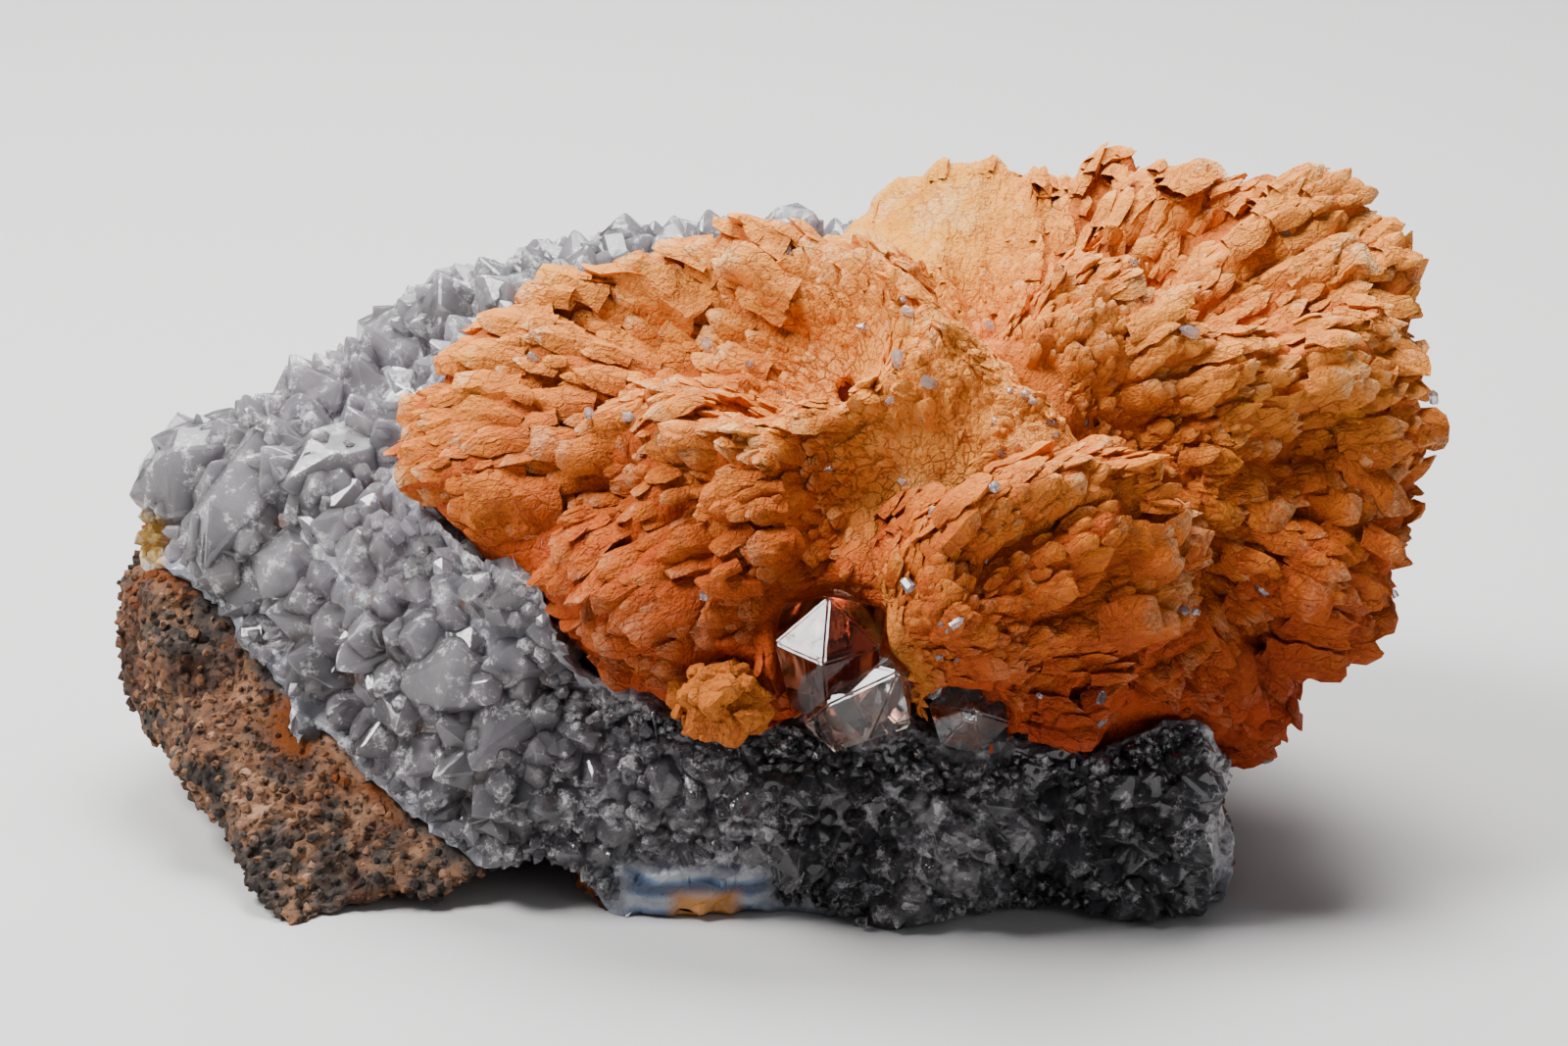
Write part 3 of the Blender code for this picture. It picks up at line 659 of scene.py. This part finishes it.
def build_rock(finish):
    points, triangles = remeshed("basalt_matrix", 0.65, 3)
    normals = normals_of(points, triangles)
    contact = np.clip(distance_to(points, ["quartz_druse"]) / 1.5, 0, 1)
    shift = contact * (0.5 * noise_at(points, 4.0, 1, 2) + 0.45 * noise_at(points, 1.2, 2, 3) - 0.2)
    body = object_from("basalt_matrix", points + normals * shift[:, None], triangles, finish)
    attribute(body, "tint", np.full(len(points), 0.5))
    attribute(body, "edge", 1 - contact)

    def keep(middle, _):
        return middle[:, 2] > 0.8

    rng = np.random.default_rng(8)
    places, facing = spread(points, triangles, lambda p: np.full(len(p), ROCK_GRAIN), 71, keep)
    near = distance_to(places, ["quartz_druse"])
    open_side = exposed(places, facing, ["quartz_druse"], 2.0) & (near > 0.25)
    places, facing, near = places[open_side], facing[open_side], near[open_side]
    lift = 0.5 * noise_at(places, 4.0, 1, 2) + 0.45 * noise_at(places, 1.2, 2, 3) - 0.2
    places = places + facing * (lift * np.clip(near / 1.5, 0, 1))[:, None]
    wide = ROCK_GRAIN * rng.uniform(0.5, 1.7, len(places))
    axes = unit(rng.normal(size=places.shape))
    sides = unit(np.cross(unit(rng.normal(size=places.shape)), axes))
    spots, faces = planted(grain_template(4), places, sides, np.cross(axes, sides), axes, np.stack([wide] * 3, axis=1))
    grains = object_from("rock_grains", spots, faces, finish)
    per = len(spots) // len(places)
    attribute(grains, "tint", np.repeat(rng.random(len(places)), per))
    attribute(grains, "edge", np.repeat(np.exp(-((near / 2.5) ** 2)), per))
    return [body, grains]


def add(tree, kind, *inputs, settings=None, **named):
    """A shader node. Inputs are sockets, which get linked, or values, which get set."""
    node = tree.nodes.new(kind)
    for key, value in (settings or {}).items():
        setattr(node, key, value)
    for key, value in [*enumerate(inputs), *((k.replace("_", " "), v) for k, v in named.items())]:
        if value is None:
            continue
        if isinstance(value, bpy.types.NodeSocket):
            tree.links.new(value, node.inputs[key])
        else:
            node.inputs[key].default_value = value
    return node


def new_finish(name):
    made = bpy.data.materials.new(name)
    made.use_nodes = True
    tree = made.node_tree
    tree.nodes.clear()
    output = tree.nodes.new("ShaderNodeOutputMaterial")
    shader = tree.nodes.new("ShaderNodeBsdfPrincipled")
    tree.links.new(shader.outputs["BSDF"], output.inputs["Surface"])
    return made, tree, shader


def place_of(tree):
    return tree.nodes.new("ShaderNodeTexCoord").outputs["Object"]


def texture(tree, place, size, detail=4.0, roughness=0.55, kind="ShaderNodeTexNoise"):
    """Noise with features of about size millimetres."""
    return add(tree, kind, Vector=place, Scale=1 / (size * MM), Detail=detail, Roughness=roughness).outputs[0]


def ramp(tree, value, *stops):
    node = add(tree, "ShaderNodeValToRGB", value)
    stops = sorted(stops)
    while len(node.color_ramp.elements) < len(stops):
        node.color_ramp.elements.new(0.5)
    for element, (position, colour) in zip(node.color_ramp.elements, stops):
        element.position = position
        element.color = (*colour, 1.0) if not isinstance(colour, float) else (colour, colour, colour, 1.0)
    return node.outputs["Color"]


def blend(tree, share, first, second, mode="MIX"):
    node = tree.nodes.new("ShaderNodeMix")
    node.data_type = "RGBA"
    node.blend_type = mode
    for socket, value in ((node.inputs[0], share), (node.inputs[6], first), (node.inputs[7], second)):
        if isinstance(value, bpy.types.NodeSocket):
            tree.links.new(value, socket)
        elif isinstance(value, tuple):
            socket.default_value = (*value, 1.0)
        else:
            socket.default_value = value
    return node.outputs[2]


def maths(tree, operation, a, b=None, clamp=False):
    return add(tree, "ShaderNodeMath", a, b, settings={"operation": operation, "use_clamp": clamp}).outputs[0]


def read(tree, name):
    return add(tree, "ShaderNodeAttribute", settings={"attribute_name": name}).outputs["Fac"]


def bump(tree, shader, height, depth, strength=1.0, under=None):
    node = add(tree, "ShaderNodeBump", Strength=strength, Distance=depth * MM, Height=height)
    if under is not None:
        tree.links.new(under, node.inputs["Normal"])
    tree.links.new(node.outputs["Normal"], shader.inputs["Normal"])
    return node.outputs["Normal"]


def stilbite_finish(name, deep):
    made, tree, shader = new_finish(name)
    place = place_of(tree)
    along, tint, out, pale, bare = (read(tree, key) for key in ("along", "tint", "out", "pale", "bare"))
    across, length = read(tree, "across"), read(tree, "length")
    shade = maths(tree, "MULTIPLY", tint, 40.0)
    fine = texture(tree, place, 0.9, 4.0, 0.7)
    grains = texture(tree, place, 0.28, 2.0, 0.6)
    grain_place = add(tree, "ShaderNodeCombineXYZ", across, maths(tree, "MULTIPLY", length, 0.16), shade).outputs[0]
    stripes = add(tree, "ShaderNodeTexNoise", Vector=grain_place, Scale=2.6, Detail=3.0, Roughness=0.6).outputs[0]
    brick_place = add(tree, "ShaderNodeAttribute", settings={"attribute_name": "brick"}).outputs["Vector"]
    brick_place = add(tree, "ShaderNodeVectorMath", brick_place, maths(tree, "MULTIPLY", fine, 0.9),
                      settings={"operation": "ADD"}).outputs[0]
    bricks = add(tree, "ShaderNodeTexVoronoi", Vector=brick_place, Scale=1.0, settings={"feature": "DISTANCE_TO_EDGE"})
    bricks = maths(tree, "ADD", bricks.outputs["Distance"], maths(tree, "MULTIPLY", maths(tree, "SUBTRACT", fine, 0.5), 0.12))
    crack = maths(tree, "MULTIPLY", ramp(tree, bricks, (0.01, 1.0), (0.08, 0.0)),
                  ramp(tree, texture(tree, place, 5.0, 3.0), (0.42, 0.35), (0.58, 1.0)))
    crack = maths(tree, "MULTIPLY", crack, maths(tree, "ADD", 0.55, maths(tree, "MULTIPLY", bare, 0.35)))
    crack = maths(tree, "MULTIPLY", crack, maths(tree, "SUBTRACT", 1.0, maths(tree, "MULTIPLY", pale, 0.55)))
    patches = texture(tree, place, 9.0, 3.0)
    share = maths(tree, "ADD", maths(tree, "MULTIPLY", patches, 0.75), maths(tree, "MULTIPLY", tint, 0.22))
    share = maths(tree, "ADD", share, maths(tree, "MULTIPLY", maths(tree, "SUBTRACT", grains, 0.5), 0.8))
    colour = ramp(tree, share, (0.20, (0.60, 0.130, 0.008)), (0.48, (0.74, 0.195, 0.013)), (0.78, (0.86, 0.31, 0.030)))
    # Painted shade: the roots of the blades, tucked under their neighbours, are darkened, less so on the smooth parts.
    root = ramp(tree, along, (0.30, 1.0), (0.72, 0.0))
    root = maths(tree, "MULTIPLY", root, maths(tree, "SUBTRACT", 0.65, maths(tree, "MULTIPLY", bare, 0.60)))
    colour = blend(tree, root, colour, (0.44, 0.070, 0.003))
    colour = blend(tree, ramp(tree, fine, (0.36, 0.45), (0.50, 0.0)), colour, (0.42, 0.080, 0.003))
    colour = blend(tree, ramp(tree, stripes, (0.34, 0.35), (0.50, 0.0)), colour, (0.40, 0.080, 0.004))
    # Painted light: the colour is lightened towards the top of the cluster and on its smooth parts, where the sheaf is
    # lit from above.
    painted_top_light = ramp(tree, maths(tree, "MULTIPLY", add(tree, "ShaderNodeSeparateXYZ", place).outputs["Z"], 1 / (60 * MM)),
                (0.52, 0.0), (0.75, 0.45))
    colour = blend(tree, maths(tree, "MAXIMUM", painted_top_light, maths(tree, "MULTIPLY", bare, 0.85)), colour, (1.0, 0.42, 0.075))
    colour = blend(tree, maths(tree, "MULTIPLY", pale, 0.85), colour, (0.76, 0.31, 0.022))
    frost = maths(tree, "MULTIPLY", ramp(tree, texture(tree, place, 4.0, 5.0, 0.65), (0.47, 0.0), (0.58, 1.0)), out)
    frost = maths(tree, "MULTIPLY", frost, ramp(tree, along, (0.62, 0.0), (0.92, 1.0)))
    frost = maths(tree, "MULTIPLY", frost, ramp(tree, grains, (0.42, 0.35), (0.56, 1.0)))
    colour = blend(tree, frost, colour, (0.86, 0.54, 0.26))
    colour = blend(tree, maths(tree, "MULTIPLY", crack, 0.8), colour, (0.40, 0.060, 0.003))
    split = add(tree, "ShaderNodeSeparateXYZ", place)
    height_in = split.outputs["Z"]
    # Painted shade: the left face of the cluster, turned to the viewer under the crest, is darkened to a deeper orange.
    left_face_painted_shade = maths(tree, "MULTIPLY", near_to(tree, split.outputs["X"], -10.0, 18.0), near_to(tree, height_in, 30.0, 9.0))
    colour = blend(tree, maths(tree, "MULTIPLY", left_face_painted_shade, 0.45), colour, (0.48, 0.085, 0.004))
    # Painted shade: the colour darkens to a deep red towards the bottom, where the underside lies in shade, and less so
    # on the smooth parts.
    low = ramp(tree, maths(tree, "MULTIPLY", height_in, 1 / (40 * MM)), (0.42, 0.84), (1.0, 0.0))
    low = maths(tree, "MULTIPLY", low, maths(tree, "SUBTRACT", 1.0, maths(tree, "MULTIPLY", bare, 0.5)))
    colour = blend(tree, low, colour, (0.25, 0.014, 0.0005))
    specks = texture(tree, place, 0.55, 2.0)
    colour = blend(tree, ramp(tree, specks, (0.735, 0.0), (0.78, 0.85)), colour, (0.06, 0.02, 0.012))
    # Painted shade: away from the smooth parts, the body under the blades is darkened, so the gaps between blades read
    # as shaded.
    if deep:
        colour = blend(tree, maths(tree, "SUBTRACT", 0.5, bare, True), colour, (0.42, 0.050, 0.002))
    tree.links.new(colour, shader.inputs["Base Color"])
    tree.links.new(ramp(tree, fine, (0.3, 0.50), (0.7, 0.85)), shader.inputs["Roughness"])
    shader.inputs["IOR"].default_value = 1.5
    shader.inputs["Specular IOR Level"].default_value = 0.2
    height = maths(tree, "ADD", maths(tree, "MULTIPLY", fine, 1.2), maths(tree, "MULTIPLY", crack, -0.5))
    height = maths(tree, "ADD", height, maths(tree, "MULTIPLY", stripes, 0.6))
    height = maths(tree, "ADD", height, maths(tree, "MULTIPLY", grains, 0.5))
    bump(tree, shader, height, 0.36, 1.0)
    return made


def quartz_finish(name, clear):
    made, tree, shader = new_finish(name)
    place = place_of(tree)
    split = add(tree, "ShaderNodeSeparateXYZ", place)
    x, z = split.outputs["X"], split.outputs["Z"]
    cloud = texture(tree, place, 4.0, 5.0, 0.72)
    flaws = texture(tree, place, 1.4, 4.0, 0.72)
    if clear:
        pale = ramp(tree, cloud, (0.30, (0.52, 0.50, 0.56)), (0.50, (0.77, 0.72, 0.78)), (0.70, (0.92, 0.86, 0.92)))
        dark = ramp(tree, cloud, (0.30, (0.07, 0.06, 0.065)), (0.52, (0.16, 0.15, 0.16)), (0.74, (0.45, 0.43, 0.45)))
    else:
        pale = ramp(tree, cloud, (0.30, (0.16, 0.16, 0.18)), (0.50, (0.28, 0.27, 0.29)), (0.70, (0.50, 0.47, 0.49)))
        dark = ramp(tree, cloud, (0.30, (0.010, 0.009, 0.010)), (0.52, (0.022, 0.020, 0.023)), (0.74, (0.09, 0.085, 0.09)))
    # The front wall takes the dark tones: partly the glassier quartz's own darker look, partly painted shade of that
    # lower front face.
    edge = texture(tree, place, 8.0, 3.0)
    right = maths(tree, "MULTIPLY_ADD", x, 60.0)
    right.node.inputs[2].default_value = 0.75
    low = maths(tree, "MULTIPLY_ADD", z, -110.0)
    low.node.inputs[2].default_value = 2.35
    wall = maths(tree, "MULTIPLY", maths(tree, "ADD", right, edge, True), maths(tree, "ADD", low, edge, True), True)
    colour = blend(tree, wall, pale, dark)
    # Painted shade: the quartz darkens towards the bottom, where the crust lies in shade.
    painted_low_shade = ramp(tree, maths(tree, "MULTIPLY", z, 1 / (30 * MM)), (0.25, 0.55), (0.85, 0.0))
    colour = blend(tree, painted_low_shade, colour, (0.11, 0.10, 0.11))
    veils = ramp(tree, texture(tree, place, 2.0, 5.0, 0.8), (0.54, 0.0), (0.64, 0.9))
    colour = blend(tree, maths(tree, "MULTIPLY", veils, maths(tree, "SUBTRACT", 1.0, maths(tree, "MULTIPLY", wall, 0.7))),
                   colour, (0.84, 0.82, 0.84))
    contact = read(tree, "edge")
    colour = blend(tree, maths(tree, "MULTIPLY", contact, 0.85), colour, (0.20, 0.25, 0.31))
    joint = ramp(tree, maths(tree, "MULTIPLY", read(tree, "depth"), 0.25), (0.30, 0.0), (0.50, 0.75))
    stain = ramp(tree, texture(tree, place, 3.2, 4.0, 0.7), (0.50, 0.0), (0.62, 1.0))
    colour = blend(tree, maths(tree, "MULTIPLY", joint, stain), colour, (0.16, 0.07, 0.03))
    rime = maths(tree, "MAXIMUM", near_to(tree, x, -8.0, 8.0), near_to(tree, x, 14.0, 6.5))
    rime = maths(tree, "MULTIPLY", maths(tree, "MULTIPLY", rime, wall), near_to(tree, z, 5.0, 8.0))
    rime = maths(tree, "ADD", rime, maths(tree, "MULTIPLY", near_to(tree, x, 36.0, 6.0), 0.7), True)
    rime = maths(tree, "MULTIPLY", rime, ramp(tree, texture(tree, place, 2.2, 4.0, 0.75), (0.44, 0.0), (0.60, 1.0)))
    colour = blend(tree, rime, colour, (0.60, 0.58, 0.60))
    specks = texture(tree, place, 0.5, 2.0)
    colour = blend(tree, ramp(tree, specks, (0.74, 0.0), (0.79, 0.8)), colour, (0.05, 0.04, 0.035))
    banding = add(tree, "ShaderNodeTexWave", Vector=place, Scale=120.0, Distortion=6.0, Detail=3.0,
                  settings={"bands_direction": "Z"}).outputs["Fac"]
    agate = ramp(tree, banding, (0.2, (0.03, 0.05, 0.10)), (0.6, (0.10, 0.15, 0.24)), (0.9, (0.30, 0.32, 0.36)))
    foot = ramp(tree, maths(tree, "MULTIPLY", z, 1 / (8 * MM)), (0.45, 1.0), (0.62, 0.0))
    colour = blend(tree, maths(tree, "MULTIPLY", foot, near_to(tree, x, -7.0, 7.0)), colour, agate)
    amber = ramp(tree, maths(tree, "MULTIPLY", z, 1 / (8 * MM)), (0.22, 1.0), (0.36, 0.0))
    colour = blend(tree, maths(tree, "MULTIPLY", amber, near_to(tree, x, -6.0, 3.2)), colour, (0.42, 0.17, 0.03))
    yellow = maths(tree, "MULTIPLY", near_to(tree, x, -51.5, 2.2), near_to(tree, z, 21.5, 2.4))
    colour = blend(tree, yellow, colour, (0.62, 0.38, 0.10))
    tree.links.new(colour, shader.inputs["Base Color"])
    gloss = ((0.40, 0.03), (0.75, 0.22)) if clear else ((0.40, 0.25), (0.75, 0.60))
    tree.links.new(ramp(tree, flaws, *gloss), shader.inputs["Roughness"])
    shader.inputs["IOR"].default_value = 1.544
    if clear:
        through = maths(tree, "MULTIPLY", maths(tree, "SUBTRACT", 1.0, maths(tree, "MULTIPLY", veils, 0.8)), clear)
        tree.links.new(through, shader.inputs["Transmission Weight"])
    tree.links.new(maths(tree, "MULTIPLY", maths(tree, "SUBTRACT", 1.0, wall, True), 0.85 if clear else 0.25),
                   shader.inputs["Subsurface Weight"])
    shader.inputs["Subsurface Radius"].default_value = (1.0, 1.0, 1.1)
    shader.inputs["Subsurface Scale"].default_value = 4.0 * MM
    bump(tree, shader, flaws, 0.09, 0.7)
    return made


def near_to(tree, value, middle, reach):
    """1 where a coordinate is near a place given in millimetres, 0 beyond its reach."""
    away = maths(tree, "ABSOLUTE", maths(tree, "SUBTRACT", value, middle * MM))
    return ramp(tree, maths(tree, "DIVIDE", away, reach * MM), (0.6, 1.0), (1.0, 0.0))


def clear_finish(name, tint, density):
    made, tree, shader = new_finish(name)
    place = place_of(tree)
    flaws = texture(tree, place, 1.4, 5.0, 0.7)
    tree.links.new(ramp(tree, flaws, (0.45, 0.02), (0.75, 0.25)), shader.inputs["Roughness"])
    shader.inputs["Base Color"].default_value = (1.0, 1.0, 1.0, 1.0)
    shader.inputs["IOR"].default_value = 1.544
    shader.inputs["Transmission Weight"].default_value = 1.0
    absorb = add(tree, "ShaderNodeVolumeAbsorption", Color=(*tint, 1.0), Density=density)
    tree.links.new(absorb.outputs["Volume"], tree.nodes["Material Output"].inputs["Volume"])
    bump(tree, shader, flaws, 0.03, 0.3)
    return made


def basalt_finish():
    made, tree, shader = new_finish("basalt")
    place = place_of(tree)
    grain = texture(tree, place, 0.7, 6.0, 0.7)
    blotch = texture(tree, place, 4.5, 4.0, 0.6)
    share = maths(tree, "ADD", maths(tree, "MULTIPLY", blotch, 0.8), maths(tree, "MULTIPLY", read(tree, "tint"), 0.30))
    colour = ramp(tree, share, (0.42, (0.024, 0.019, 0.017)), (0.52, (0.085, 0.066, 0.054)), (0.60, (0.23, 0.115, 0.060)),
                  (0.74, (0.46, 0.26, 0.165)))
    rust = ramp(tree, texture(tree, place, 6.0, 4.0), (0.46, 0.0), (0.58, 1.0))
    colour = blend(tree, maths(tree, "MULTIPLY", rust, maths(tree, "ADD", read(tree, "edge"), 0.25, True)), colour,
                   (0.20, 0.052, 0.010))
    colour = blend(tree, ramp(tree, grain, (0.40, 0.9), (0.49, 0.0)), colour, (0.014, 0.011, 0.010))
    colour = blend(tree, ramp(tree, grain, (0.62, 0.0), (0.74, 0.5)), colour, (0.44, 0.31, 0.23))
    tree.links.new(colour, shader.inputs["Base Color"])
    shader.inputs["Roughness"].default_value = 0.9
    shader.inputs["Specular IOR Level"].default_value = 0.2
    bump(tree, shader, grain, 0.30, 1.0)
    return made


def plain(name, colour, roughness=0.6):
    made, _, shader = new_finish(name)
    shader.inputs["Base Color"].default_value = (*colour, 1.0)
    shader.inputs["Roughness"].default_value = roughness
    shader.inputs["Specular IOR Level"].default_value = 0.0
    return made


def build_stage():
    bpy.ops.mesh.primitive_plane_add(size=6.0)
    floor = bpy.context.object
    floor.name = "floor"
    floor.data.materials.append(plain("floor", (0.62, 0.61, 0.60)))
    world = bpy.data.worlds.new("studio")
    world.use_nodes = True
    world.node_tree.nodes["Background"].inputs["Color"].default_value = (0.86, 0.90, 1.0, 1.0)
    world.node_tree.nodes["Background"].inputs["Strength"].default_value = 0.13
    bpy.context.scene.world = world
    for name, place, size, power in (
        ("key", (-0.28, -0.06, 0.42), 0.18, 4.1),
        ("top", (0.02, 0.14, 0.46), 0.24, 4.0),
        ("fill", (0.40, -0.45, 0.30), 0.35, 0.30),
        ("back", (-0.10, 0.45, 0.35), 0.30, 1.6),
    ):
        light = bpy.data.objects.new(name, bpy.data.lights.new(name, "AREA"))
        light.data.size = size
        light.data.energy = power
        light.location = place
        light.rotation_mode = "QUATERNION"
        light.rotation_quaternion = (-Vector(place) + Vector((0, 0, 0.025))).to_track_quat("-Z", "Y")
        bpy.context.scene.collection.objects.link(light)


VIEW_ELEVATION = math.radians(20)
VIEW_DISTANCE = 0.347
VIEW_TARGET = Vector((0, 0, 0.0237))


def build_camera():
    camera = bpy.data.objects.new("camera", bpy.data.cameras.new("camera"))
    camera.data.lens = 100
    camera.data.clip_start = 0.01
    back = Vector((0, -math.cos(VIEW_ELEVATION), math.sin(VIEW_ELEVATION)))
    camera.location = VIEW_TARGET + back * VIEW_DISTANCE
    camera.rotation_mode = "QUATERNION"
    camera.rotation_quaternion = (-back).to_track_quat("-Z", "Y")
    bpy.context.scene.collection.objects.link(camera)
    bpy.context.scene.camera = camera


def dress(pieces, node):
    for piece in pieces:
        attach(piece, "root")
        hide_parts(node)


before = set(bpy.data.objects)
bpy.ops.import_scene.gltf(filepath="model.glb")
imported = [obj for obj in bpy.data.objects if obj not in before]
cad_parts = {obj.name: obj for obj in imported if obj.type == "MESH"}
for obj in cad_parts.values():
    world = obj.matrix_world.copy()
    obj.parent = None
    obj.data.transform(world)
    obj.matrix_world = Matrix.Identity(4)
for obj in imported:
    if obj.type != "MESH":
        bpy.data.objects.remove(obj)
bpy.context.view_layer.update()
# The second finish, for the bodies under the blades, darkens them as painted shade in the gaps between blades.
scaly, deep = stilbite_finish("stilbite", False), stilbite_finish("stilbite_body_painted_shade", True)
clear = clear_finish("clear_quartz", (0.86, 0.86, 0.88), 25.0)
glassy = quartz_finish("quartz", 0.8)
for seed, node in enumerate(GROWTH_ORIGINS):
    pieces = build_sheaf(node, 61 + seed * 3, deep, scaly, glassy)
    dress(pieces[:2], node)
    dress(pieces[2:], node)
dress(build_druse(quartz_finish("quartz_crust", 0.0), glassy), "quartz_druse")
dress([build_ledge_crystals(clear)], "quartz_druse")
dress(build_rock(basalt_finish()), "basalt_matrix")
dress([build_point("clear_quartz_point", clear)], "clear_quartz_point")
dress([build_point("round_quartz_point", clear)], "round_quartz_point")
smoky = clear_finish("smoky_quartz", (0.66, 0.30, 0.10), 260.0)
dress([build_point("smoky_quartz_point", smoky)], "smoky_quartz_point")
build_stage()
build_camera()
